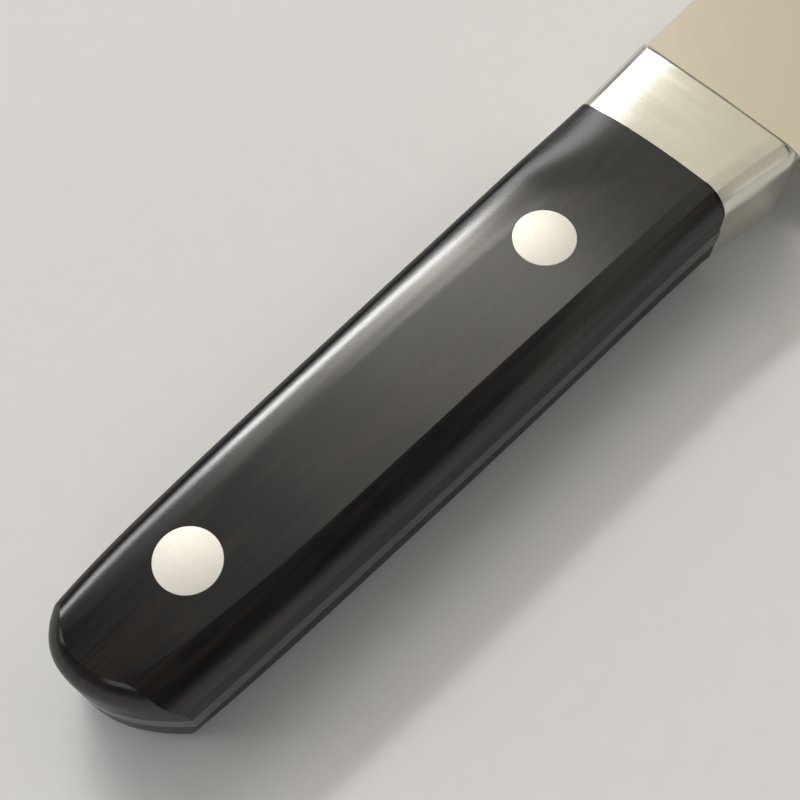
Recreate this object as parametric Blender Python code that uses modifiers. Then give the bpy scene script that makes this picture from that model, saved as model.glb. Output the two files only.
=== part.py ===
"""Boning knife: full-tang blade, two-part steel bolster, laminated-wood scales and two cutlery rivets.

Metres. The knife lies on its left side: +X runs to the tip, +Y to the spine and +Z up, out of the
right side. The design coordinates below have their origin on the rear rivet's axis, half way through
the handle, and the empty knife_frame moves them to the middle of the base of the knife's box.
"""

import math

import bmesh
import bpy

MM = 0.001
GAP = 0.3 * MM  # clearance between solids that touch on the real knife

# Handle
HANDLE_HALF = 8.6 * MM  # from the middle plane to a side face
RIVET_SPACING = 57.8 * MM
JUNCTION_X = 77.6 * MM  # where the scales meet the bolster
ROLL_ANGLE = math.radians(14)  # tilt that the face reaches before the spine-side corner
WALL_ANGLE = math.radians(78)  # tilt where that corner ends and the spine-side wall starts
SPINE_CORNER_R = 2.0 * MM
BOLSTER_BELLY_R = 4.0 * MM

# Lines along the handle, as (x, y) in millimetres
BELLY_LINE = [(-22, -11.3), (0, -11.9), (40, -12.6), (77.6, -12.8), (89.3, -14.2)]
FLAT_BELLY_LINE = [(-22, -3.4), (-11.6, -5.9), (0, -7.3), (14, -7.85), (40, -8.0), (77.6, -8.4)]
FLAT_SPINE_LINE = [(-22, 2.8), (62, 2.8), (77.6, -6.0), (89.3, -6.0), (97, -4.0)]
SHOULDER_LINE = [(-22, 4.2), (-11, 6.1), (0, 7.05), (32, 8.2), (64, 9.25), (77.6, 9.95), (97, 11.2)]

# Butt
BUTT_X = -17.8 * MM
BUTT_BELLY = (-11.2 * MM, -11.5 * MM)
BUTT_SPINE = (-9.6 * MM, 9.3 * MM)
BUTT_ROUND_R = 4.0 * MM
BUTT_ROUND_RISE = 0.43 * MM  # how far above the face the butt's rounding would end, which leaves a crest

# Bolster
CREST = (89.3 * MM, HANDLE_HALF)  # top of the slope that falls from the bolster to the blade
BOLSTER_END_X = 95.2 * MM
BOLSTER_NOSE_CLIMB = 4.7 * MM  # height of the rounded lower front corner
BOLSTER_CORE_Z = 0.5 * MM  # where the right half's rough form starts, below the blade's ground face

# Blade, with its lines as (x, y) in millimetres
TANG_HALF = 1.5 * MM
TIP_THICKNESS = 1.3 * MM
BEVEL_THICKNESS = 0.9 * MM  # at the top of the edge bevel
EDGE_THICKNESS = 0.2 * MM
BEVEL_HEIGHT = 3.2 * MM
GRIND_START_X = 83.0 * MM
GRIND_FULL_X = 94.0 * MM
NOTCH_X = 94.8 * MM  # where the heel leaves the bolster
HEEL = (100.2 * MM, -25.2 * MM)
HEEL_ROUND = 0.8 * MM
TIP = (244.0 * MM, -13.5 * MM)
EDGE_LINE = [(80, -25.1), (100, -25.2), (150, -25.3), (190, -23.6), (220, -20.0), (244, -13.5)]
SPINE_LINE = [(94, 13.6), (112, 14.1), (150, 12.9), (185, 7.2), (215, -1.0), (244, -13.5)]
BLADE_STATIONS = 18

# Rivets
HEAD_R = 4.0 * MM
HEAD_DEPTH = 3.0 * MM
SHANK_R = 2.5 * MM
PIN_R = 1.5 * MM
SHANK_END_Z = -5.0 * MM  # end of the barrel's tube, inside the left scale
PIN_END_Z = 3.5 * MM  # end of the post's pin, inside the barrel
ROUND_SIDES = 32

# Rough forms reach past the shape that is cut from them
REACH_X = 260 * MM
REACH_Y = 40 * MM
REACH_Z = 12 * MM


def line_y(points, x):
    """Height at x of the smooth line through the points."""
    x = x / MM
    last = len(points) - 1
    i = max(k for k in range(last) if k == 0 or points[k][0] <= x)
    (x0, y0), (x1, y1) = points[i], points[i + 1]
    before = points[max(i - 1, 0)]
    after = points[min(i + 2, last)]
    slope0 = (y1 - before[1]) / (x1 - before[0])
    slope1 = (after[1] - y0) / (after[0] - x0)
    t = (x - x0) / (x1 - x0)
    rise = (2 * t**3 - 3 * t**2 + 1) * y0 + (3 * t**2 - 2 * t**3) * y1
    bend = (t**3 - 2 * t**2 + t) * slope0 + (t**3 - t**2) * slope1
    return (rise + (x1 - x0) * bend) * MM


def belly_y(x):
    """The belly's wall, with the bolster's rounded lower front corner."""
    if x <= CREST[0]:
        return line_y(BELLY_LINE, x)
    along = (x - CREST[0]) / (BOLSTER_END_X - CREST[0])
    climb = 1 - math.sqrt(max(1 - along**2, 0))
    return line_y(BELLY_LINE, CREST[0]) + BOLSTER_NOSE_CLIMB * climb


def arc(centre, radius, start, end, steps):
    """Points on an arc in the YZ plane, its angles measured from +Z towards +Y."""
    angles = [start + (end - start) * i / steps for i in range(steps + 1)]
    return [(centre[0] + radius * math.sin(a), centre[1] + radius * math.cos(a)) for a in angles]


def half_section(x, inner_z):
    """Right half of the handle's cross-section at x, from the belly round to the spine."""
    belly = belly_y(x)
    if x <= JUNCTION_X:
        flat_start = line_y(FLAT_BELLY_LINE, x)
    else:
        flat_start = belly + BOLSTER_BELLY_R
    belly_r = flat_start - belly
    flat_end = line_y(FLAT_SPINE_LINE, x)
    shoulder = line_y(SHOULDER_LINE, x)
    roll_r = (shoulder - flat_end) / math.sin(ROLL_ANGLE)
    corner_depth = roll_r + (SPINE_CORNER_R - roll_r) * math.cos(ROLL_ANGLE)
    corner_centre = (shoulder - SPINE_CORNER_R * math.sin(ROLL_ANGLE), HANDLE_HALF - corner_depth)
    points = [(belly, inner_z)]
    points += arc((flat_start, HANDLE_HALF - belly_r), belly_r, -math.pi / 2, 0, 6)
    points += arc((flat_end, HANDLE_HALF - roll_r), roll_r, 0, ROLL_ANGLE, 4)
    points += arc(corner_centre, SPINE_CORNER_R, ROLL_ANGLE, WALL_ANGLE, 5)[1:]
    wall_y, wall_z = points[-1]
    points.append((wall_y + (wall_z - inner_z) / math.tan(WALL_ANGLE), inner_z))
    return points


def spine_y(x):
    """The handle's spine where it crosses the middle plane."""
    return half_section(x, 0)[-1][0]


def stations(start, end, count):
    return [start + (end - start) * i / count for i in range(count + 1)]


def new_object(name, data, collection):
    obj = bpy.data.objects.new(name, data)
    collection.objects.link(obj)
    obj.parent = knife_frame
    if collection is cutters:
        obj.hide_render = True
        obj.display_type = "WIRE"
    return obj


def loft(name, rings, collection):
    """A closed solid through rings of points that all have the same count."""
    bm = bmesh.new()
    loops = [[bm.verts.new(point) for point in ring] for ring in rings]
    for near, far in zip(loops, loops[1:]):
        for i in range(len(near)):
            bm.faces.new((near[i - 1], near[i], far[i], far[i - 1]))
    bm.faces.new(loops[0])
    bm.faces.new(loops[-1])
    bmesh.ops.triangulate(bm, faces=bm.faces, quad_method="FIXED")
    bmesh.ops.recalc_face_normals(bm, faces=bm.faces)
    mesh = bpy.data.meshes.new(name)
    bm.to_mesh(mesh)
    bm.free()
    return new_object(name, mesh, collection)


def corner(x, y):
    """A Bezier point between two straight stretches."""
    return ((x, y), (x, y), (x, y))


def plate(name, points, half_thickness, collection, round_r=0.0):
    """A flat outline of Bezier points, extruded both ways, its edges rounded inwards by round_r."""
    curve = bpy.data.curves.new(name, "CURVE")
    curve.dimensions = "2D"
    curve.fill_mode = "BOTH"
    curve.extrude = half_thickness - round_r
    curve.bevel_depth = round_r
    curve.bevel_resolution = 5
    curve.offset = -round_r
    curve.resolution_u = 8
    spline = curve.splines.new("BEZIER")
    spline.bezier_points.add(len(points) - 1)
    spline.use_cyclic_u = True
    for bezier, (left, at, right) in zip(spline.bezier_points, points):
        bezier.handle_left_type = bezier.handle_right_type = "FREE"
        bezier.co = (*at, 0)
        bezier.handle_left = (*left, 0)
        bezier.handle_right = (*right, 0)
    outline = new_object(name + "_outline", curve, collection)
    depsgraph = bpy.context.evaluated_depsgraph_get()
    mesh = bpy.data.meshes.new_from_object(outline.evaluated_get(depsgraph))
    bpy.data.objects.remove(outline)
    bm = bmesh.new()
    bm.from_mesh(mesh)
    bmesh.ops.remove_doubles(bm, verts=bm.verts, dist=0.002 * MM)
    bmesh.ops.recalc_face_normals(bm, faces=bm.faces)
    bm.to_mesh(mesh)
    bm.free()
    return new_object(name, mesh, collection)


def turned(name, profile, x, collection):
    """A solid of revolution about the Z axis at x, from (radius, z) points that run top to bottom."""
    edges = [(i, i + 1) for i in range(len(profile) - 1)]
    mesh = bpy.data.meshes.new(name)
    mesh.from_pydata([(radius, 0, z) for radius, z in profile], edges, [])
    obj = new_object(name, mesh, collection)
    obj.location = (x, 0, 0)
    screw = obj.modifiers.new("turn", "SCREW")
    screw.steps = screw.render_steps = ROUND_SIDES
    screw.use_merge_vertices = True
    screw.merge_threshold = 0.01 * MM
    return obj


def boolean(obj, operation, cutter):
    modifier = obj.modifiers.new(cutter.name, "BOOLEAN")
    modifier.operation = operation
    modifier.object = cutter


def material(name, colour, roughness, metallic):
    made = bpy.data.materials.new(name)
    made.use_nodes = True
    shader = made.node_tree.nodes["Principled BSDF"]
    shader.inputs["Base Color"].default_value = (*colour, 1)
    shader.inputs["Roughness"].default_value = roughness
    shader.inputs["Metallic"].default_value = metallic
    return made


def finish(obj, surface):
    """Gives a part its material, and smooth shading with crisp edges."""
    obj.data.materials.clear()
    obj.data.materials.append(surface)
    obj.data.shade_smooth()
    obj.data.set_sharp_from_angle(angle=math.radians(30))


def blade_steel():
    return material("blade_steel", (0.60, 0.56, 0.48), 0.3, 1.0)


def bolster_steel():
    return material("bolster_steel", (0.64, 0.62, 0.56), 0.28, 1.0)


def rivet_steel():
    return material("rivet_steel", (0.80, 0.79, 0.75), 0.3, 1.0)


def laminated_wood():
    return material("laminated_wood", (0.022, 0.019, 0.017), 0.3, 0.0)


def make_butt_form():
    """The long slab whose convex, rounded end shapes the butt of the scales and the tang."""
    points = [
        corner(REACH_X, -REACH_Y),
        corner(15.0 * MM, -REACH_Y),
        ((-7.4 * MM, -15.0 * MM), BUTT_BELLY, (-15.0 * MM, -8.0 * MM)),
        ((-18.0 * MM, -4.0 * MM), (BUTT_X, 1.0 * MM), (-17.7 * MM, 4.4 * MM)),
        ((-15.6 * MM, 7.4 * MM), BUTT_SPINE, (-4.0 * MM, 11.0 * MM)),
        corner(15.0 * MM, REACH_Y),
        corner(REACH_X, REACH_Y),
    ]
    return plate("butt_form", points, HANDLE_HALF + BUTT_ROUND_RISE, cutters, BUTT_ROUND_R)


def make_rivet_hole(name, x):
    """A through hole for the shank with a pocket for the head at each end."""
    pocket_z = HANDLE_HALF - HEAD_DEPTH - GAP
    profile = [
        (0, REACH_Z),
        (HEAD_R + GAP, REACH_Z),
        (HEAD_R + GAP, pocket_z),
        (SHANK_R + GAP, pocket_z),
        (SHANK_R + GAP, -pocket_z),
        (HEAD_R + GAP, -pocket_z),
        (HEAD_R + GAP, -REACH_Z),
        (0, -REACH_Z),
    ]
    return turned(name, profile, x, cutters)


def grind_section(x, clearance):
    """Cross-section of the blade's grind at x, reaching past the spine and the edge."""
    share = min(max((x - GRIND_START_X) / (GRIND_FULL_X - GRIND_START_X), 0), 1)
    taper = max((x - GRIND_FULL_X) / (TIP[0] - GRIND_FULL_X), 0)
    left_z = -TANG_HALF
    full = 2 * TANG_HALF
    spine = full + (TIP_THICKNESS - full) * taper
    edge = line_y(EDGE_LINE, max(min(x, TIP[0]), HEEL[0]))
    top = line_y(SPINE_LINE, max(min(x, TIP[0]), NOTCH_X))
    bevel_height = min(BEVEL_HEIGHT, 0.5 * (top - edge))
    bevel = EDGE_THICKNESS + (BEVEL_THICKNESS - EDGE_THICKNESS) * bevel_height / BEVEL_HEIGHT
    bevel = full + (bevel - full) * share
    thin = full + (EDGE_THICKNESS - full) * share
    floor_z = left_z if clearance == 0 else -REACH_Z
    return [
        (x, edge - REACH_Z, floor_z),
        (x, top + REACH_Z, floor_z),
        (x, top + REACH_Z, left_z + spine + clearance),
        (x, top, left_z + spine + clearance),
        (x, edge + bevel_height, left_z + bevel + clearance),
        (x, edge, left_z + thin + clearance),
        (x, edge - REACH_Z, left_z + thin + clearance),
    ]


def make_grind_form(name, clearance):
    """The ground blade and flat tang as a slab without an outline, its right side raised by clearance."""
    near_tip = TIP[0] - 2 * MM
    along = [-REACH_Y] + stations(GRIND_START_X, GRIND_FULL_X, 5)
    along += stations(GRIND_FULL_X, near_tip, 16)[1:] + [TIP[0] + REACH_Z]
    return loft(name, [grind_section(x, clearance) for x in along], cutters)


def blade_outline():
    """Outline of tang and blade, round from the butt's belly side to the heel, the tip and back."""
    points = [corner(x, belly_y(x)) for x in stations(-22 * MM, JUNCTION_X, 14)]
    points += [corner(x, belly_y(x)) for x in stations(JUNCTION_X, CREST[0], 2)[1:]]
    points += [corner(x, belly_y(x)) for x in stations(CREST[0], NOTCH_X, 4)[1:]]
    heel_x, heel_y = HEEL
    lean = (heel_x - NOTCH_X) / (belly_y(NOTCH_X) - heel_y)
    back = (heel_x - HEEL_ROUND * lean, heel_y + HEEL_ROUND)
    points.append((back, back, HEEL))
    points.append((HEEL, (heel_x + HEEL_ROUND, heel_y), (heel_x + HEEL_ROUND, heel_y)))
    along = stations(heel_x, TIP[0], BLADE_STATIONS)
    points += [corner(x, line_y(EDGE_LINE, x)) for x in along[1:]]
    points += [corner(x, line_y(SPINE_LINE, x)) for x in along[-2::-1]]
    points.append(corner(BOLSTER_END_X, line_y(SPINE_LINE, BOLSTER_END_X)))
    points += [corner(x, spine_y(x)) for x in stations(CREST[0], JUNCTION_X, 2)]
    points += [corner(x, spine_y(x)) for x in stations(JUNCTION_X, -22 * MM, 14)[1:]]
    return points


def make_blade(butt_form, rivet_holes):
    blade = plate("blade", blade_outline(), 2 * TANG_HALF, parts)
    boolean(blade, "INTERSECT", make_grind_form("grind_form", 0))
    boolean(blade, "INTERSECT", butt_form)
    for hole in rivet_holes:
        boolean(blade, "DIFFERENCE", hole)
    finish(blade, blade_steel())


def half_loft(name, along, inner_z, side):
    """The handle's right half over the stations along X, or its left half where side is -1."""
    rings = [[(x, y, side * z) for y, z in half_section(x, inner_z)] for x in along]
    return loft(name, rings, parts)


def make_scale(name, side, surface, butt_form, rivet_holes):
    scale = half_loft(name, stations(-22 * MM, JUNCTION_X, 16), TANG_HALF + GAP, side)
    boolean(scale, "INTERSECT", butt_form)
    for hole in rivet_holes:
        boolean(scale, "DIFFERENCE", hole)
    finish(scale, surface)


def make_nose_cutter(name, side):
    """Everything in front of the slope that falls from the bolster's crest to the blade."""
    crest_x, crest_z = CREST
    foot = (BOLSTER_END_X - 0.2 * MM, 0.9 * MM)
    points = [
        corner(crest_x - 2.2 * MM, REACH_Z),
        (CREST, CREST, (crest_x + 2.2 * MM, crest_z - 3.6 * MM)),
        ((foot[0] - 1.8 * MM, foot[1] + 1.5 * MM), foot, foot),
        corner(BOLSTER_END_X, -REACH_Z),
        corner(BOLSTER_END_X + REACH_Z, -REACH_Z),
        corner(BOLSTER_END_X + REACH_Z, REACH_Z),
    ]
    cutter = plate(name, points, REACH_Y, cutters)
    cutter.rotation_euler.x = side * math.pi / 2
    return cutter


def make_bolster(name, side, surface, blade_slot):
    along = stations(JUNCTION_X + GAP, CREST[0], 3) + stations(CREST[0], BOLSTER_END_X, 6)[1:]
    inner_z = TANG_HALF + GAP if side < 0 else BOLSTER_CORE_Z
    bolster = half_loft(name, along, inner_z, side)
    boolean(bolster, "DIFFERENCE", make_nose_cutter(name + "_nose", side))
    if side > 0:
        boolean(bolster, "DIFFERENCE", blade_slot)
    finish(bolster, surface)


def make_rivet(name, x, surface):
    """A cutlery rivet: a barrel from the right side and a post from the left that runs into it."""
    seat_z = HANDLE_HALF - HEAD_DEPTH
    barrel = [
        (0, HANDLE_HALF),
        (HEAD_R, HANDLE_HALF),
        (HEAD_R, seat_z),
        (SHANK_R, seat_z),
        (SHANK_R, SHANK_END_Z),
        (PIN_R + GAP, SHANK_END_Z),
        (PIN_R + GAP, PIN_END_Z + GAP),
        (0, PIN_END_Z + GAP),
    ]
    post = [
        (0, PIN_END_Z),
        (PIN_R, PIN_END_Z),
        (PIN_R, -seat_z),
        (HEAD_R, -seat_z),
        (HEAD_R, -HANDLE_HALF),
        (0, -HANDLE_HALF),
    ]
    finish(turned(name + "_rivet_barrel", barrel, x, parts), surface)
    finish(turned(name + "_rivet_post", post, x, parts), surface)


for old in list(bpy.data.objects):
    bpy.data.objects.remove(old)
parts = bpy.data.collections.new("boning_knife")
cutters = bpy.data.collections.new("cutters")
for collection in (parts, cutters):
    bpy.context.scene.collection.children.link(collection)
knife_frame = bpy.data.objects.new("knife_frame", None)
blade_x = stations(HEEL[0], TIP[0], BLADE_STATIONS)
lowest_y = min(line_y(EDGE_LINE, x) for x in blade_x)
highest_y = max(line_y(SPINE_LINE, x) for x in blade_x)
knife_frame.location = (-(BUTT_X + TIP[0]) / 2, -(lowest_y + highest_y) / 2, HANDLE_HALF)
parts.objects.link(knife_frame)

rivet_places = {"rear": 0.0, "front": RIVET_SPACING}
holes = [make_rivet_hole(name + "_rivet_hole", x) for name, x in rivet_places.items()]
butt = make_butt_form()
make_blade(butt, holes)
wood = laminated_wood()
steel = bolster_steel()
slot = make_grind_form("blade_slot", GAP)
for side_name, side_sign in (("right", 1), ("left", -1)):
    make_scale("scale_" + side_name, side_sign, wood, butt, holes)
    make_bolster("bolster_" + side_name, side_sign, steel, slot)
rivet_surface = rivet_steel()
for name, x in rivet_places.items():
    make_rivet(name, x, rivet_surface)
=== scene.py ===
import math

import bmesh
import bpy
from mathutils import Matrix, Vector


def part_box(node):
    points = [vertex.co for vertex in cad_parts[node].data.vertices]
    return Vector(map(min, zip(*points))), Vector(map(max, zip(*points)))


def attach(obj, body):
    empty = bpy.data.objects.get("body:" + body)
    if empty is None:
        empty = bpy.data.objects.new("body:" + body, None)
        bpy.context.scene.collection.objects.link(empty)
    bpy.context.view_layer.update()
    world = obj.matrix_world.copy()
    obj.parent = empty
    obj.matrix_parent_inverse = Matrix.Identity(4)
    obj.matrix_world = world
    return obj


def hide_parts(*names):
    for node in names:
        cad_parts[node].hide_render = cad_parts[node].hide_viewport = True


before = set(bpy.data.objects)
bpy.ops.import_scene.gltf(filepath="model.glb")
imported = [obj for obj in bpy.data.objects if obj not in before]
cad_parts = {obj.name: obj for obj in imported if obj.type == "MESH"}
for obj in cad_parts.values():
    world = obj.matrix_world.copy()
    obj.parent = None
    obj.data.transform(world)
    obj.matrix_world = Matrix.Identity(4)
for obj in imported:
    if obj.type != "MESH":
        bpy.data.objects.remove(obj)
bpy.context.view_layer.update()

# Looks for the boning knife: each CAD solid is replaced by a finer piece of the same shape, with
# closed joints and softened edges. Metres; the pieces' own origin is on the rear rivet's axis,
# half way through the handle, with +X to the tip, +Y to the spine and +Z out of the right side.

MM = 0.001

# Handle
HANDLE_START_X = -22 * MM  # of the scales and the tang before the butt's form cuts them
HANDLE_HALF = 8.6 * MM
RIVET_SPACING = 57.8 * MM
JUNCTION_X = 77.75 * MM
ROLL_ANGLE = math.radians(14)
WALL_ANGLE = math.radians(78)
SPINE_CORNER_R = 2.0 * MM
BOLSTER_BELLY_R = 4.0 * MM
JOINT_EASE = 0.025 * MM  # rounding of the edges that meet at the joint of scale and bolster
BELLY_LINE = [(-22, -11.3), (0, -11.9), (40, -12.6), (77.6, -12.8), (89.3, -14.2)]
FLAT_BELLY_LINE = [(-22, -3.4), (-11.6, -5.9), (0, -7.3), (14, -7.85), (40, -8.0), (77.6, -8.4)]
FLAT_BELLY_END_X = 77.6 * MM
BELLY_CREASE = math.radians(6)  # tilt at which the belly's rounding leaves the face
FLAT_SPINE_LINE = [(-22, 2.8), (62, 2.8), (77.6, -6.0), (89.3, -6.0), (97, -4.0)]
SHOULDER_LINE = [(-22, 4.2), (-11, 6.1), (0, 7.05), (32, 8.2), (64, 9.25), (77.6, 9.95), (97, 11.2)]
HANDLE_STEPS = 80
FLAT_MARGIN = 0.12 * MM  # from a rounding to the extra point that keeps the face flat beside it
BELLY_STEPS = 16
ROLL_STEPS = 8
CORNER_STEPS = 14
WALL_STEPS = 5
EASE_STEPS = 4
SCALE_LIFT = 0.01 * MM  # between scale and tang

# Butt
BUTT_OUTLINE = [  # Bezier points from belly to spine, each as left handle, place and right handle
    ((-7.4, -15.0), (-11.2, -11.5), (-15.0, -8.0)),
    ((-18.0, -4.0), (-17.78, 1.0), (-17.7, 4.4)),
    ((-15.6, 7.4), (-9.6, 9.3), (-4.0, 11.0)),
]
BUTT_STRAIGHT_X = 15.0 * MM  # where the butt's form reaches its full width
BUTT_ROUND_R = 4.0 * MM
BUTT_ROUND_RISE = 0.43 * MM

# Bolster
CREST = (89.3 * MM, HANDLE_HALF)
CREST_EASE = 0.45 * MM
BOLSTER_END_X = 95.2 * MM
BOLSTER_NOSE_CLIMB = 4.7 * MM
NOSE_CURVE = [(89.3, 8.6), (91.5, 5.0), (93.2, 2.4), (95.0, 0.9)]
NOSE_STEPS = 60
JOINT_GAP = 0.002 * MM  # between scale and bolster
BOLSTER_SPANS = [  # start, end and steps of its rings in front of the eased end
    (JUNCTION_X + JOINT_GAP + 2 * JOINT_EASE, 88.7 * MM, 10),
    (88.8 * MM, 90.0 * MM, 14),
    (90.2 * MM, 94.6 * MM, 24),
    (94.7 * MM, BOLSTER_END_X - 0.02 * MM, 6),
]
SEATING = 0.1 * MM  # how far the bolster's foot sinks into the blade, so that no slit shows

# Blade
TANG_HALF = 1.5 * MM
TIP_THICKNESS = 1.3 * MM
BEVEL_THICKNESS = 0.9 * MM
EDGE_THICKNESS = 0.03 * MM
BEVEL_HEIGHT = 3.2 * MM
BEVEL_MOST = 0.42  # of the blade's height, where it is narrow
POINT_LENGTH = 14 * MM  # over which the spine thins down to the point
POINT_CURVE = 0.6  # power by which it thins
POINT_LEAST = 0.04  # keeps the tip from thinning to nothing
GRIND_START_X = 83.0 * MM
GRIND_FULL_X = 94.0 * MM
NOTCH_X = 94.8 * MM
HEEL = (100.2 * MM, -25.2 * MM)
HEEL_ROUND = 0.8 * MM
BEVEL_START_X = HEEL[0] - 1.0 * MM
TIP = (244.0 * MM, -13.5 * MM)
EDGE_LINE = [(80, -25.08), (100, -25.18), (150, -25.28), (190, -23.6), (220, -20.0), (244, -13.5)]
SPINE_LINE = [(94, 13.6), (112, 14.1), (150, 12.9), (185, 7.2), (215, -1.0), (244, -13.5)]
SPINE_INSET = 0.02 * MM
SPINE_EASE = 0.22 * MM  # depth of the spine's rounding, or less where the blade is thin
SPINE_EASE_MOST = 0.3  # of the half thickness
SPINE_BULGE = 0.35  # of the rounding beyond a straight slope
SPINE_FLAT = 0.45  # of the half thickness, flat on top
TANG_STEPS = 60
NOTCH_STEPS = 16
HEEL_STEPS = 14
HEEL_ROUND_STEPS = 6
EDGE_STEPS = 64
POINT_START_X = 230 * MM
POINT_STEPS = 24
POINT_CUT = 0.15 * MM  # from the last section to the tip

# Rivets
HEAD_R = 4.0 * MM
HEAD_DEPTH = 3.0 * MM
SHANK_R = 2.5 * MM
PIN_R = 1.5 * MM
SHANK_END_Z = -5.0 * MM
PIN_END_Z = 3.5 * MM
RIM_EASE = 0.08 * MM
FIT = 0.03 * MM  # clearance round a rivet
ROUND_SIDES = 96

# How far the cutting forms reach past the handle
REACH_X = 260 * MM
REACH_Y = 40 * MM
REACH_Z = 12 * MM

# Mesh
MERGE_DIST = 0.002 * MM
NEAR_FACE = 0.001 * MM  # slack in telling which side a face is on
LEAST_HEIGHT = 1e-9  # keeps a division from zero
PLATE_CURVE_STEPS = 40
PLATE_ROUND_STEPS = 14
SCALE_SHARP = 17  # degrees from which an edge is shaded sharp
BOLSTER_SHARP = 24
BLADE_SHARP = 7
RIVET_SHARP = 40
GROUND_FACE, BEVEL_FACE, TANG_FACE = range(3)  # order of the blade's materials


def rivet_axis():
    """Rear rivet's axis at mid thickness, in the row frame."""
    low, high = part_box("rear_rivet_barrel")
    return Vector(((low.x + high.x) / 2, (low.y + high.y) / 2, high.z - HANDLE_HALF))


ORIGIN = rivet_axis()
RIVET_HEAD = ORIGIN + Vector((0, 0, HANDLE_HALF))


# ---------------------------------------------------------------- curves and sections

def stations(start, end, count):
    return [start + (end - start) * i / count for i in range(count + 1)]


def ramp(x, start, end):
    """0 up to start, 1 from end on, and straight in between."""
    return min(max((x - start) / (end - start), 0), 1)


def line_y(points, x):
    """Height at x of the smooth line through the points."""
    x = x / MM
    last = len(points) - 1
    i = max(k for k in range(last) if k == 0 or points[k][0] <= x)
    (x0, y0), (x1, y1) = points[i], points[i + 1]
    before = points[max(i - 1, 0)]
    after = points[min(i + 2, last)]
    slope0 = (y1 - before[1]) / (x1 - before[0])
    slope1 = (after[1] - y0) / (after[0] - x0)
    t = (x - x0) / (x1 - x0)
    rise = (2 * t**3 - 3 * t**2 + 1) * y0 + (3 * t**2 - 2 * t**3) * y1
    bend = (t**3 - 2 * t**2 + t) * slope0 + (t**3 - t**2) * slope1
    return (rise + (x1 - x0) * bend) * MM


def belly_y(x):
    """Height of the handle's belly at x, which climbs in front of the bolster's crest."""
    if x <= CREST[0]:
        return line_y(BELLY_LINE, x)
    climb = 1 - math.sqrt(max(1 - ramp(x, CREST[0], BOLSTER_END_X) ** 2, 0))
    return line_y(BELLY_LINE, CREST[0]) + BOLSTER_NOSE_CLIMB * climb


def arc(centre, radius, start, end, steps):
    """Points on an arc in the YZ plane with their normals, as (y, z, normal y, normal z)."""
    made = []
    for angle in stations(start, end, steps):
        out_y, out_z = math.sin(angle), math.cos(angle)
        made.append((centre[0] + radius * out_y, centre[1] + radius * out_z, out_y, out_z))
    return made


def quarter_round(radius):
    """A rounded edge's points from the side face to the end face, as (back from the end, inset)."""
    angles = stations(0, math.pi / 2, EASE_STEPS)
    return [(radius * (1 - math.sin(angle)), radius * (1 - math.cos(angle))) for angle in angles]


def half_section(x):
    """Right half of the handle's cross-section at x from the top of the belly's wall to that of the
    spine's, as (y, z, normal y, normal z)."""
    belly = belly_y(x)
    if x <= JUNCTION_X:
        crease = BELLY_CREASE
        flat_start = line_y(FLAT_BELLY_LINE, min(x, FLAT_BELLY_END_X))
    else:
        crease = 0
        flat_start = belly + BOLSTER_BELLY_R
    belly_r = (flat_start - belly) / (1 - math.sin(crease))
    belly_centre = (belly + belly_r, HANDLE_HALF - belly_r * math.cos(crease))
    flat_end = line_y(FLAT_SPINE_LINE, x)
    shoulder = line_y(SHOULDER_LINE, x)
    roll_r = (shoulder - flat_end) / math.sin(ROLL_ANGLE)
    corner_depth = roll_r + (SPINE_CORNER_R - roll_r) * math.cos(ROLL_ANGLE)
    corner_centre = (shoulder - SPINE_CORNER_R * math.sin(ROLL_ANGLE), HANDLE_HALF - corner_depth)
    points = arc(belly_centre, belly_r, -math.pi / 2, -crease, BELLY_STEPS)
    points += [(y, HANDLE_HALF, 0.0, 1.0) for y in (flat_start + FLAT_MARGIN, flat_end - FLAT_MARGIN)]
    points += arc((flat_end, HANDLE_HALF - roll_r), roll_r, 0, ROLL_ANGLE, ROLL_STEPS)
    points += arc(corner_centre, SPINE_CORNER_R, ROLL_ANGLE, WALL_ANGLE, CORNER_STEPS)[1:]
    return points


def ring_of(x, inset, belly_z, spine_z):
    """Closed ring (y, z) of the right half at x, drawn in by inset, down to the two inner heights."""
    curve = [(y - ny * inset, z - nz * inset) for y, z, ny, nz in half_section(x)]
    start_y, start_z = curve[0]
    wall_y, wall_z = curve[-1]
    ring = [(start_y, z) for z in stations(belly_z, start_z, WALL_STEPS)[:-1]]
    ring += curve
    spine_wall = stations(wall_z, spine_z, WALL_STEPS)[1:]
    ring += [(wall_y + (wall_z - z) / math.tan(WALL_ANGLE), z) for z in spine_wall]
    return ring


def spine_y(x):
    """Where the handle's spine crosses the middle plane."""
    y, z = half_section(x)[-1][:2]
    return y + z / math.tan(WALL_ANGLE)


def bezier(points, t):
    s = 1 - t
    weights = (s**3, 3 * s * s * t, 3 * s * t * t, t**3)
    return tuple(sum(w * p[k] for w, p in zip(weights, points)) for k in (0, 1))


NOSE_POINTS = [bezier(NOSE_CURVE, i / NOSE_STEPS) for i in range(NOSE_STEPS + 1)]


def nose_z(x):
    """Height of the slope in front of the bolster's crest, carried on straight past both ends."""
    x = x / MM
    i = 0
    while i < len(NOSE_POINTS) - 2 and NOSE_POINTS[i + 1][0] < x:
        i += 1
    (x0, z0), (x1, z1) = NOSE_POINTS[i], NOSE_POINTS[i + 1]
    return (z0 + (z1 - z0) * (x - x0) / (x1 - x0)) * MM


def soft_min(a, b, ease):
    """The lower of two heights, blended over ease where they cross."""
    near = max(ease - abs(a - b), 0) / ease
    return min(a, b) - near * near * ease / 4


def edge_y(x):
    return line_y(EDGE_LINE, max(min(x, TIP[0]), HEEL[0]))


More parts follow.
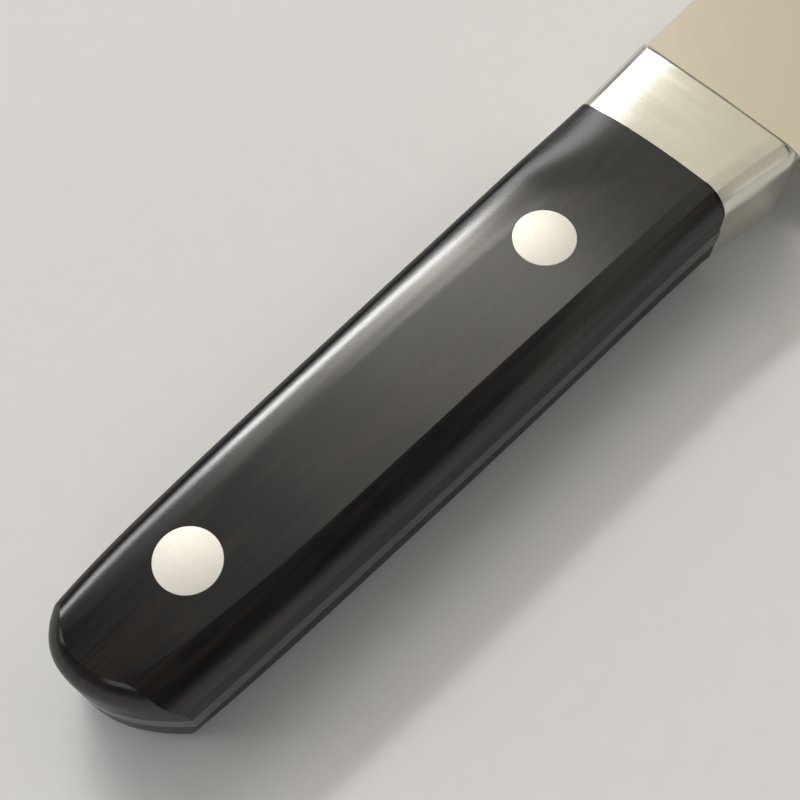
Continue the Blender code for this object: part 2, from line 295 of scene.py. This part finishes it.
def blade_top_y(x):
    """Height of the blade's or the tang's spine at x."""
    if x <= CREST[0]:
        return spine_y(x)
    if x >= BOLSTER_END_X:
        return line_y(SPINE_LINE, min(x, TIP[0])) - SPINE_INSET
    share = ramp(x, CREST[0], BOLSTER_END_X)
    return spine_y(CREST[0]) * (1 - share) + line_y(SPINE_LINE, BOLSTER_END_X) * share


def grind_heights(x):
    """Right side of the blade at x: (y, z) at the spine, at the top of the edge bevel and at the edge."""
    share = ramp(x, GRIND_START_X, GRIND_FULL_X)
    taper = ramp(x, GRIND_FULL_X, TIP[0])
    full = 2 * TANG_HALF
    spine = full + (TIP_THICKNESS - full) * taper
    spine *= min(max((TIP[0] - x) / POINT_LENGTH, POINT_LEAST), 1) ** POINT_CURVE
    edge = edge_y(x)
    top = line_y(SPINE_LINE, max(min(x, TIP[0]), NOTCH_X))
    height = min(BEVEL_HEIGHT, BEVEL_MOST * (top - edge))
    bevel = EDGE_THICKNESS + (BEVEL_THICKNESS - EDGE_THICKNESS) * height / BEVEL_HEIGHT
    bevel = min(full + (bevel - full) * share, spine)
    thin = min(full + (EDGE_THICKNESS - full) * share, bevel)
    return (top, spine - TANG_HALF), (edge + height, bevel - TANG_HALF), (edge, thin - TANG_HALF)


def blade_z(x, y):
    """Height of the blade's right face at (x, y)."""
    top, kink, edge = grind_heights(x)
    if y >= kink[0]:
        share = min((y - kink[0]) / max(top[0] - kink[0], LEAST_HEIGHT), 1)
        return kink[1] + (top[1] - kink[1]) * share
    share = max((y - edge[0]) / max(kink[0] - edge[0], LEAST_HEIGHT), 0)
    return edge[1] + (kink[1] - edge[1]) * share


# ---------------------------------------------------------------- mesh tools

def new_piece(name, mesh):
    obj = bpy.data.objects.new(name, mesh)
    bpy.context.scene.collection.objects.link(obj)
    obj.location = ORIGIN
    return obj


def solid_piece(name, bm):
    """The piece of a closed bmesh, with its normals outward."""
    bmesh.ops.recalc_face_normals(bm, faces=bm.faces)
    mesh = bpy.data.meshes.new(name)
    bm.to_mesh(mesh)
    bm.free()
    return new_piece(name, mesh)


def loft(name, rings):
    """A closed mesh through rings of points that all have the same count."""
    bm = bmesh.new()
    loops = [[bm.verts.new(point) for point in ring] for ring in rings]
    for near, far in zip(loops, loops[1:]):
        for i in range(len(near)):
            bm.faces.new((near[i - 1], near[i], far[i], far[i - 1]))
    bm.faces.new(loops[0])
    bm.faces.new(loops[-1])
    bmesh.ops.remove_doubles(bm, verts=bm.verts, dist=MERGE_DIST)
    return solid_piece(name, bm)


def corner(x, y):
    """A sharp corner as a Bezier point: its left handle, place and right handle."""
    return ((x, y), (x, y), (x, y))


def plate(name, points, half_thickness, round_r):
    """A flat outline of Bezier points, extruded both ways, its edges rounded inwards by round_r."""
    curve = bpy.data.curves.new(name, "CURVE")
    curve.dimensions = "2D"
    curve.fill_mode = "BOTH"
    curve.extrude = half_thickness - round_r
    curve.bevel_depth = round_r
    curve.bevel_resolution = PLATE_ROUND_STEPS
    curve.offset = -round_r
    curve.resolution_u = PLATE_CURVE_STEPS
    spline = curve.splines.new("BEZIER")
    spline.bezier_points.add(len(points) - 1)
    spline.use_cyclic_u = True
    for bezier_point, (left, at, right) in zip(spline.bezier_points, points):
        bezier_point.handle_left_type = bezier_point.handle_right_type = "FREE"
        bezier_point.co = (*at, 0)
        bezier_point.handle_left = (*left, 0)
        bezier_point.handle_right = (*right, 0)
    outline = new_piece(name + "_outline", curve)
    depsgraph = bpy.context.evaluated_depsgraph_get()
    mesh = bpy.data.meshes.new_from_object(outline.evaluated_get(depsgraph))
    bpy.data.objects.remove(outline)
    bm = bmesh.new()
    bm.from_mesh(mesh)
    bpy.data.meshes.remove(mesh)
    bmesh.ops.remove_doubles(bm, verts=bm.verts, dist=MERGE_DIST)
    return solid_piece(name, bm)


def turned(name, profile, x):
    """A closed solid of revolution about Z at x, from (radius, z) points that run top to bottom."""
    bm = bmesh.new()
    angles = stations(0, 2 * math.pi, ROUND_SIDES)[:-1]
    rings = []
    for radius, z in profile:
        if radius == 0:
            points = [(x, 0, z)]
        else:
            points = [(x + radius * math.cos(a), radius * math.sin(a), z) for a in angles]
        rings.append([bm.verts.new(point) for point in points])
    for near, far in zip(rings, rings[1:]):
        for i in range(ROUND_SIDES):
            if len(near) == 1:
                bm.faces.new((near[0], far[i - 1], far[i]))
            elif len(far) == 1:
                bm.faces.new((near[i - 1], near[i], far[0]))
            else:
                bm.faces.new((near[i - 1], near[i], far[i], far[i - 1]))
    return solid_piece(name, bm)


def boolean(obj, operation, cutter):
    modifier = obj.modifiers.new(cutter.name, "BOOLEAN")
    modifier.operation = operation
    modifier.object = cutter


def bake(obj):
    """Applies the piece's modifiers to its mesh."""
    depsgraph = bpy.context.evaluated_depsgraph_get()
    mesh = bpy.data.meshes.new_from_object(obj.evaluated_get(depsgraph))
    obj.modifiers.clear()
    obj.data = mesh


def dress(obj, node, surfaces, sharp_degrees):
    """Shading, materials and the piece's place on the frame."""
    obj.data.materials.clear()
    for surface in surfaces:
        obj.data.materials.append(surface)
    obj.data.shade_smooth()
    obj.data.set_sharp_from_angle(angle=math.radians(sharp_degrees))
    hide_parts(node)
    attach(obj, "root")


# ---------------------------------------------------------------- material tools

NOISE_RANGE = (0.3, 0.7)


def node_material(name):
    made = bpy.data.materials.new(name)
    made.use_nodes = True
    return made, made.node_tree, made.node_tree.nodes["Principled BSDF"]


def grain_coords(tree, scale, rotation=0.0):
    """Object coordinates turned about Z, then stretched by scale: waves per metre along X, Y and Z."""
    coords = tree.nodes.new("ShaderNodeTexCoord")
    turn = tree.nodes.new("ShaderNodeMapping")
    turn.inputs["Rotation"].default_value = (0, 0, rotation)
    stretch = tree.nodes.new("ShaderNodeMapping")
    stretch.inputs["Scale"].default_value = scale
    tree.links.new(coords.outputs["Object"], turn.inputs["Vector"])
    tree.links.new(turn.outputs["Vector"], stretch.inputs["Vector"])
    return stretch.outputs["Vector"]


def noise(tree, scale, detail=3.0, rotation=0.0, distortion=0.0):
    texture = tree.nodes.new("ShaderNodeTexNoise")
    texture.inputs["Scale"].default_value = 1.0
    texture.inputs["Detail"].default_value = detail
    texture.inputs["Distortion"].default_value = distortion
    tree.links.new(grain_coords(tree, scale, rotation), texture.inputs["Vector"])
    return texture.outputs["Fac"]


def remap(tree, value, low, high, to_low, to_high):
    node = tree.nodes.new("ShaderNodeMapRange")
    node.inputs["From Min"].default_value = low
    node.inputs["From Max"].default_value = high
    node.inputs["To Min"].default_value = to_low
    node.inputs["To Max"].default_value = to_high
    tree.links.new(value, node.inputs["Value"])
    return node.outputs["Result"]


def spread(tree, texture, to_low, to_high):
    """A noise's usual range, remapped."""
    return remap(tree, texture, *NOISE_RANGE, to_low, to_high)


def add(tree, first, second):
    node = tree.nodes.new("ShaderNodeMath")
    node.operation = "ADD"
    tree.links.new(first, node.inputs[0])
    tree.links.new(second, node.inputs[1])
    return node.outputs[0]


def blend(tree, share, first, second):
    """Colour between two, each a tuple or a socket."""
    node = tree.nodes.new("ShaderNodeMix")
    node.data_type = "RGBA"
    tree.links.new(share, node.inputs["Factor"])
    for socket, value in ((node.inputs[6], first), (node.inputs[7], second)):
        if isinstance(value, tuple):
            socket.default_value = (*value, 1)
        else:
            tree.links.new(value, socket)
    return node.outputs[2]


def bump(tree, height, distance, strength, below=None):
    node = tree.nodes.new("ShaderNodeBump")
    node.inputs["Distance"].default_value = distance
    node.inputs["Strength"].default_value = strength
    tree.links.new(height, node.inputs["Height"])
    if below is not None:
        tree.links.new(below, node.inputs["Normal"])
    return node.outputs["Normal"]


# ---------------------------------------------------------------- materials

WOOD_BLACK = (0.0035, 0.0034, 0.0033)
WOOD_BROWN = (0.0140, 0.0115, 0.0095)
WOOD_VEIN = (0.023, 0.0150, 0.0110)
WOOD_PORE = (0.0025, 0.0022, 0.0020)
FLOOR_LIGHT = (0.86, 0.85, 0.84)
FLOOR_DARK = (0.83, 0.82, 0.81)
STEELS = {  # light and dark colour, roughness, polishing lines in waves per metre, and their depth
    "bolster_steel": ((0.70, 0.69, 0.62), (0.68, 0.67, 0.60), 0.165, (1900, 90, 400), 0.0003 * MM),
    "blade_steel": ((0.745, 0.682, 0.588), (0.730, 0.668, 0.575), 0.25, (2400, 60, 300), 0.0004 * MM),
    # the tang's colours are painted shade: far darker than bare steel, standing in for the dark
    # surroundings its exposed strip mirrors between the scales
    "tang_steel_painted_shade": ((0.20, 0.195, 0.185), (0.15, 0.145, 0.14), 0.30, (90, 1500, 900), 0.003 * MM),
    "bevel_steel": ((0.74, 0.71, 0.65), (0.66, 0.63, 0.57), 0.22, (3600, 120, 900), 0.006 * MM),
    "rivet_steel": ((0.75, 0.73, 0.665), (0.72, 0.70, 0.64), 0.56, (1700, 1900, 900), 0.003 * MM),
}


def handle_wood():
    """Black resin-laminated wood, satin polished: fine lengthwise grain, thin layers, light wear."""
    made, tree, shader = node_material("handle_wood")
    fibre = noise(tree, (90, 2600, 2600), detail=5.0)
    stroke = noise(tree, (330, 2300, 2300), detail=3.0, rotation=math.radians(2))
    streak = noise(tree, (110, 1000, 800), detail=4.0, distortion=0.4)
    layer = noise(tree, (45, 200, 700), detail=3.0, distortion=0.3)
    cloud = noise(tree, (60, 120, 120), detail=3.0)
    dark = blend(tree, remap(tree, streak, 0.35, 0.7, 0, 1), WOOD_BLACK, WOOD_BROWN)
    veined = blend(tree, remap(tree, layer, 0.50, 0.68, 0, 0.8), dark, WOOD_VEIN)
    colour = blend(tree, remap(tree, fibre, 0.30, 0.46, 1, 0), veined, WOOD_PORE)
    tree.links.new(colour, shader.inputs["Base Color"])
    rough = spread(tree, fibre, 0.46, 0.36)
    smudge = spread(tree, cloud, -0.03, 0.05)
    tree.links.new(add(tree, rough, smudge), shader.inputs["Roughness"])
    scratch = noise(tree, (90, 7000, 7000), detail=1.0, rotation=math.radians(58))
    marks = remap(tree, scratch, 0.70, 0.78, 0, 1)
    relief = bump(tree, fibre, 0.012 * MM, 0.35)
    relief = bump(tree, marks, 0.010 * MM, 0.25, relief)
    tree.links.new(relief, shader.inputs["Normal"])
    tree.links.new(bump(tree, stroke, 0.020 * MM, 0.13), shader.inputs["Coat Normal"])
    shader.inputs["Specular IOR Level"].default_value = 0.05
    shader.inputs["Coat Weight"].default_value = 0.30
    shader.inputs["Coat IOR"].default_value = 2.2
    shader.inputs["Coat Roughness"].default_value = 0.16
    return made


def steel(name, light, dark, roughness, lines, line_depth):
    """Polished steel: fine parallel polishing lines, soft cloudiness, specks and hairlines."""
    made, tree, shader = node_material(name)
    polish = noise(tree, lines, detail=4.0)
    cloud = noise(tree, (130, 130, 130), detail=3.0)
    speck = noise(tree, (1400, 1400, 1400), detail=2.0)
    tint = add(tree, spread(tree, cloud, 0, 0.5), remap(tree, polish, 0.35, 0.65, 0, 0.5))
    tree.links.new(blend(tree, tint, light, dark), shader.inputs["Base Color"])
    rough = spread(tree, polish, roughness - 0.015, roughness + 0.02)
    rough = add(tree, rough, spread(tree, cloud, -0.008, 0.010))
    rough = add(tree, rough, remap(tree, speck, 0.62, 0.75, 0, 0.012))
    hairline = noise(tree, (60, 2600, 2600), detail=1.0, rotation=math.radians(-34))
    rough = add(tree, rough, remap(tree, hairline, 0.64, 0.74, 0, 0.015))
    tree.links.new(rough, shader.inputs["Roughness"])
    tree.links.new(bump(tree, polish, line_depth, 0.3), shader.inputs["Normal"])
    shader.inputs["Metallic"].default_value = 1.0
    return made


def floor_surface():
    """Matt paper with a faint grain."""
    made, tree, shader = node_material("floor_paper")
    grain = noise(tree, (300, 300, 300), detail=4.0)
    broad = noise(tree, (3, 3, 3), detail=2.0)
    tone = add(tree, spread(tree, grain, 0, 0.5), spread(tree, broad, 0, 0.5))
    tree.links.new(blend(tree, tone, FLOOR_LIGHT, FLOOR_DARK), shader.inputs["Base Color"])
    tree.links.new(bump(tree, grain, 0.05 * MM, 0.2), shader.inputs["Normal"])
    shader.inputs["Roughness"].default_value = 0.85
    return made


# ---------------------------------------------------------------- pieces

def make_butt_form():
    """The long slab whose convex, rounded end shapes the butt of the scales and the tang."""
    points = [corner(REACH_X, -REACH_Y), corner(BUTT_STRAIGHT_X, -REACH_Y)]
    points += [tuple((x * MM, y * MM) for x, y in point) for point in BUTT_OUTLINE]
    points += [corner(BUTT_STRAIGHT_X, REACH_Y), corner(REACH_X, REACH_Y)]
    return plate("butt_form", points, HANDLE_HALF + BUTT_ROUND_RISE, BUTT_ROUND_R)


def make_rivet_hole(name, x):
    """The form that cuts a rivet's stepped hole."""
    seat_z = HANDLE_HALF - HEAD_DEPTH - FIT
    wide, narrow = HEAD_R + FIT, SHANK_R + FIT
    profile = [(0, REACH_Z), (wide, REACH_Z), (wide, seat_z), (narrow, seat_z)]
    profile += [(narrow, -seat_z), (wide, -seat_z), (wide, -REACH_Z), (0, -REACH_Z)]
    return turned(name, profile, x)


def eased_end(x_end, direction):
    """(x, inset) stations of a rounded edge at x_end, from the full section to the end face."""
    return [(x_end - direction * back, inset) for back, inset in quarter_round(JOINT_EASE)]


def make_scale(side_name, side, surface, butt_form, rivet_holes):
    inner = TANG_HALF + SCALE_LIFT
    along = [(x, 0.0) for x in stations(HANDLE_START_X, JUNCTION_X - 2 * JOINT_EASE, HANDLE_STEPS)]
    along += eased_end(JUNCTION_X, 1)
    rings = [[(x, y, side * z) for y, z in ring_of(x, inset, inner, inner)] for x, inset in along]
    scale = loft("handle_scale_" + side_name, rings)
    boolean(scale, "INTERSECT", butt_form)
    for hole in rivet_holes:
        boolean(scale, "DIFFERENCE", hole)
    bake(scale)
    dress(scale, "scale_" + side_name, [surface], SCALE_SHARP)


def foot_z(x, y, side):
    """Height of the bolster's foot above the middle plane at (x, y)."""
    return (blade_z(x, y) if side > 0 else TANG_HALF) - SEATING


def bolster_ring(x, inset, side):
    """Cross-section of the bolster at x, cut off by the slope in front of its crest."""
    ring = []
    for y, z in ring_of(x, inset, foot_z(x, belly_y(x), side), foot_z(x, spine_y(x), side)):
        top = soft_min(z, nose_z(x), CREST_EASE)
        ring.append((x, y, side * max(top, foot_z(x, y, side))))
    return ring


def make_bolster(side_name, side, surface):
    along = list(reversed(eased_end(JUNCTION_X + JOINT_GAP, -1)))
    along += [(x, 0.0) for span in BOLSTER_SPANS for x in stations(*span)]
    rings = [bolster_ring(x, inset, side) for x, inset in along]
    bolster = loft("bolster_polished_" + side_name, rings)
    dress(bolster, "bolster_" + side_name, [surface], BOLSTER_SHARP)


def blade_stations():
    """(x, lowest y) along the tang, down the heel and on to the tip."""
    made = [(x, belly_y(x)) for x in stations(HANDLE_START_X, CREST[0], TANG_STEPS)]
    made += [(x, belly_y(x)) for x in stations(CREST[0], NOTCH_X, NOTCH_STEPS)[1:]]
    start = (NOTCH_X, belly_y(NOTCH_X))
    lean = (HEEL[0] - NOTCH_X) / (start[1] - HEEL[1])
    back = (HEEL[0] - HEEL_ROUND * lean, HEEL[1] + HEEL_ROUND)
    heel_xs = stations(start[0], back[0], HEEL_STEPS)
    heel_ys = stations(start[1], back[1], HEEL_STEPS)
    made += list(zip(heel_xs, heel_ys))[1:]
    ahead = (HEEL[0] + HEEL_ROUND, edge_y(HEEL[0] + HEEL_ROUND))
    for i in range(HEEL_ROUND_STEPS):
        made.append(bezier((back, HEEL, HEEL, ahead), (i + 1) / HEEL_ROUND_STEPS))
    made += [(x, edge_y(x)) for x in stations(ahead[0], POINT_START_X, EDGE_STEPS)[1:]]
    made += [(x, edge_y(x)) for x in stations(POINT_START_X, TIP[0] - POINT_CUT, POINT_STEPS)[1:]]
    return made


def blade_ring(x, low):
    """Cross-section of tang or blade at x: the edge or belly, the right face, the spine, the left face.
    The tang's spine slopes as the handle's does, and the blade's is rounded."""
    kink_y = max(low, grind_heights(x)[1][0])
    crown = blade_top_y(x)
    right = blade_z(x, crown)
    middle, half = (right - TANG_HALF) / 2, (right + TANG_HALF) / 2
    share = ramp(x, CREST[0], BOLSTER_END_X)
    drop = TANG_HALF / math.tan(WALL_ANGLE) * (1 - share) + min(SPINE_EASE, SPINE_EASE_MOST * half) * share
    bulge = SPINE_BULGE * share
    rounding = [(1.0, 1.0), (0.5 - bulge, 0.5 + bulge), (0.0, SPINE_FLAT * share)]
    ring = [(x, low, -TANG_HALF), (x, low, blade_z(x, low)), (x, kink_y, blade_z(x, kink_y))]
    ring += [(x, crown - drop * down, middle + half * out) for down, out in rounding]
    ring += [(x, crown - drop * down, middle - half * out) for down, out in reversed(rounding)]
    return ring


def make_blade(surfaces, butt_form, rivet_holes):
    blade = loft("blade_ground", [blade_ring(x, low) for x, low in blade_stations()])
    boolean(blade, "INTERSECT", butt_form)
    for hole in rivet_holes:
        boolean(blade, "DIFFERENCE", hole)
    bake(blade)
    dress(blade, "blade", surfaces, BLADE_SHARP)
    for face in blade.data.polygons:
        x, y, z = face.center
        _, kink, edge = grind_heights(x)
        # the tang's faces get the steel darkened with painted shade
        if x < JUNCTION_X:
            face.material_index = TANG_FACE
        elif x > BEVEL_START_X and edge[0] < y < kink[0] and z > -TANG_HALF + NEAR_FACE:
            face.material_index = BEVEL_FACE
        else:
            face.material_index = GROUND_FACE


def make_rivet(name, x, surface):
    """Both halves: a barrel with a head on the right and the post that goes into it from the left."""
    seat_z = HANDLE_HALF - HEAD_DEPTH
    eased = [(HEAD_R - inset, HANDLE_HALF - down) for inset, down in quarter_round(RIM_EASE)]
    barrel = [(0, HANDLE_HALF)] + eased
    barrel += [(HEAD_R, seat_z), (SHANK_R, seat_z), (SHANK_R, SHANK_END_Z), (PIN_R + FIT, SHANK_END_Z)]
    barrel += [(PIN_R + FIT, PIN_END_Z + FIT), (0, PIN_END_Z + FIT)]
    post = [(0, PIN_END_Z), (PIN_R, PIN_END_Z), (PIN_R, -seat_z), (HEAD_R, -seat_z)]
    post += [(radius, -z) for radius, z in reversed(eased)] + [(0, -HANDLE_HALF)]
    for part, profile in (("barrel", barrel), ("post", post)):
        piece = turned(f"{name}_rivet_{part}_polished", profile, x)
        dress(piece, f"{name}_rivet_{part}", [surface], RIVET_SHARP)


def make_knife():
    butt = make_butt_form()
    places = {"rear": 0.0, "front": RIVET_SPACING}
    holes = [make_rivet_hole(name + "_hole", x) for name, x in places.items()]
    wood = handle_wood()
    steels = {name: steel(name, *looks) for name, looks in STEELS.items()}
    make_blade([steels[name] for name in ("blade_steel", "bevel_steel", "tang_steel_painted_shade")], butt, holes)
    for side_name, side in (("right", 1), ("left", -1)):
        make_scale(side_name, side, wood, butt, holes)
        make_bolster(side_name, side, steels["bolster_steel"])
    for name, x in places.items():
        make_rivet(name, x, steels["rivet_steel"])
    for cutter in [butt, *holes]:
        bpy.data.objects.remove(cutter)


# ---------------------------------------------------------------- floor, light and camera

SOFT_WHITE = (1.0, 0.955, 0.88)
WHITE = (1.0, 0.985, 0.96)
TAN = (1.0, 0.92, 0.75)
COOL = (0.95, 0.98, 1.0)
LIGHTS = [  # name, start and end of its middle line, width, radiance, colour
    ("key_butt", (0.14, 1.03, 2.70), (0.56, 1.02, 2.66), 0.75, 0.40, SOFT_WHITE),
    ("key_rear", (0.56, 1.02, 2.66), (0.88, 1.00, 2.60), 0.75, 1.15, SOFT_WHITE),
    ("key_middle", (0.88, 0.92, 2.62), (1.17, 0.91, 2.56), 0.60, 2.1, SOFT_WHITE),
    ("key_front", (1.17, 0.91, 2.56), (1.40, 0.90, 2.50), 0.60, 3.2, SOFT_WHITE),
    ("slope_butt", (0.10, 1.61, 2.40), (0.46, 1.60, 2.38), 0.60, 0.6, SOFT_WHITE),
    ("slope_rear", (0.46, 1.62, 2.37), (0.82, 1.60, 2.34), 0.60, 2.6, SOFT_WHITE),
    ("ease_middle", (0.82, 1.27, 2.50), (1.08, 1.26, 2.46), 0.36, 4.0, SOFT_WHITE),
    ("ease_front", (1.08, 1.26, 2.46), (1.36, 1.25, 2.40), 0.36, 7.0, SOFT_WHITE),
    ("slope_middle", (0.82, 1.66, 2.32), (1.08, 1.65, 2.28), 0.42, 7.0, SOFT_WHITE),
    ("slope_front", (1.08, 1.65, 2.28), (1.33, 1.63, 2.23), 0.42, 11.5, SOFT_WHITE),
    ("strip_rear", (-0.30, 2.19, 2.08), (0.46, 2.16, 2.04), 0.20, 14.0, WHITE),
    ("strip_middle", (0.46, 2.16, 2.04), (1.33, 1.85, 2.00), 0.20, 36.0, WHITE),
    ("strip_front", (1.33, 2.02, 1.80), (2.20, 1.78, 1.50), 0.30, 6.0, WHITE),
    ("panel", (1.86, -1.75, 2.05), (1.86, 1.92, 2.05), 1.56, 0.63, TAN),
    ("belly_front", (1.32, -1.60, 2.10), (1.12, -2.75, 0.10), 0.42, 0.55, TAN),
    ("spine_front", (1.95, 2.10, 1.30), (2.00, 2.45, 0.20), 0.70, 0.8, WHITE),
    ("back", (-2.40, 1.90, 1.50), (-0.40, 2.75, 1.50), 1.50, 1.5, WHITE),
    ("top_rear", (-1.80, 0.90, 2.40), (-0.50, 0.90, 2.75), 1.30, 1.3, WHITE),
    ("butt_left", (-2.38, -0.15, 1.80), (-1.95, -1.25, 1.95), 0.80, 1.2, COOL),
    ("butt_belly", (-1.95, -1.25, 1.95), (-1.15, -2.00, 2.05), 0.80, 1.4, COOL),
]
FLOOR_HALF = 2.3
FLOOR_DROP = 0.0002  # below the knife, so that the faces don't coincide
WORLD_COLOUR = (0.96, 0.97, 1.0, 1)
WALL_LIGHT = (0.04, 0.34, 0.36, 0.10)  # heights between which the walls fade, and their light there
GROUND_LIGHT = (-0.03, 0.03, 0.30, 0)  # the same for what is added below the horizon
CAMERA_SENSOR = 36.0  # millimetres, like the lens
CAMERA_LENS = 59.86
CAMERA_CLIP = 0.005
CAMERA_RIGHT = (0.70683, -0.70720, -0.01602)
CAMERA_UP = (0.64658, 0.63673, 0.42013)
CAMERA_BACK = (-0.28692, -0.30732, 0.90732)
CAMERA_AT = (-14.00, -49.99, 139.11)  # millimetres from the rear rivet's head


def make_floor():
    bm = bmesh.new()
    bmesh.ops.create_grid(bm, x_segments=4, y_segments=4, size=FLOOR_HALF)
    mesh = bpy.data.meshes.new("floor")
    bm.to_mesh(mesh)
    bm.free()
    mesh.materials.append(floor_surface())
    floor = bpy.data.objects.new("floor", mesh)
    floor.location.z = -FLOOR_DROP
    bpy.context.scene.collection.objects.link(floor)


def make_light(name, start, end, width, radiance, colour):
    """A long softbox whose middle line runs from start to end, in metres from the rear rivet's head,
    and which faces the handle."""
    start, end = Vector(start), Vector(end)
    back = (start + end).normalized()
    along = end - start
    light = bpy.data.lights.new(name, "AREA")
    light.shape = "RECTANGLE"
    light.size, light.size_y = along.length, width
    light.energy = radiance * math.pi * along.length * width
    light.color = colour
    lamp = bpy.data.objects.new(name, light)
    lamp.location = RIVET_HEAD + (start + end) / 2
    along.normalize()
    back = (back - along * back.dot(along)).normalized()
    lamp.rotation_euler = Matrix((along, back.cross(along), back)).transposed().to_euler()
    bpy.context.scene.collection.objects.link(lamp)


def make_world():
    """A dim studio, paler towards the floor and palest below the horizon."""
    world = bpy.data.worlds.new("studio")
    world.use_nodes = True
    tree = world.node_tree
    coords = tree.nodes.new("ShaderNodeTexCoord")
    split = tree.nodes.new("ShaderNodeSeparateXYZ")
    tree.links.new(coords.outputs["Generated"], split.inputs["Vector"])
    walls = remap(tree, split.outputs["Z"], *WALL_LIGHT)
    ground = remap(tree, split.outputs["Z"], *GROUND_LIGHT)
    background = tree.nodes["Background"]
    background.inputs["Color"].default_value = WORLD_COLOUR
    tree.links.new(add(tree, walls, ground), background.inputs["Strength"])
    bpy.context.scene.world = world


def make_camera():
    """Looks down on the handle from the belly side, with the blade going off to the upper right."""
    data = bpy.data.cameras.new("camera")
    data.sensor_width = CAMERA_SENSOR
    data.lens = CAMERA_LENS
    data.clip_start = CAMERA_CLIP
    camera = bpy.data.objects.new("camera", data)
    turn = Matrix((CAMERA_RIGHT, CAMERA_UP, CAMERA_BACK)).transposed().to_4x4()
    camera.matrix_world = Matrix.Translation(RIVET_HEAD + Vector(CAMERA_AT) * MM) @ turn
    bpy.context.scene.collection.objects.link(camera)
    bpy.context.scene.camera = camera


make_knife()
make_floor()
for light in LIGHTS:
    make_light(*light)
make_world()
make_camera()
bpy.context.scene.view_settings.view_transform = "Standard"
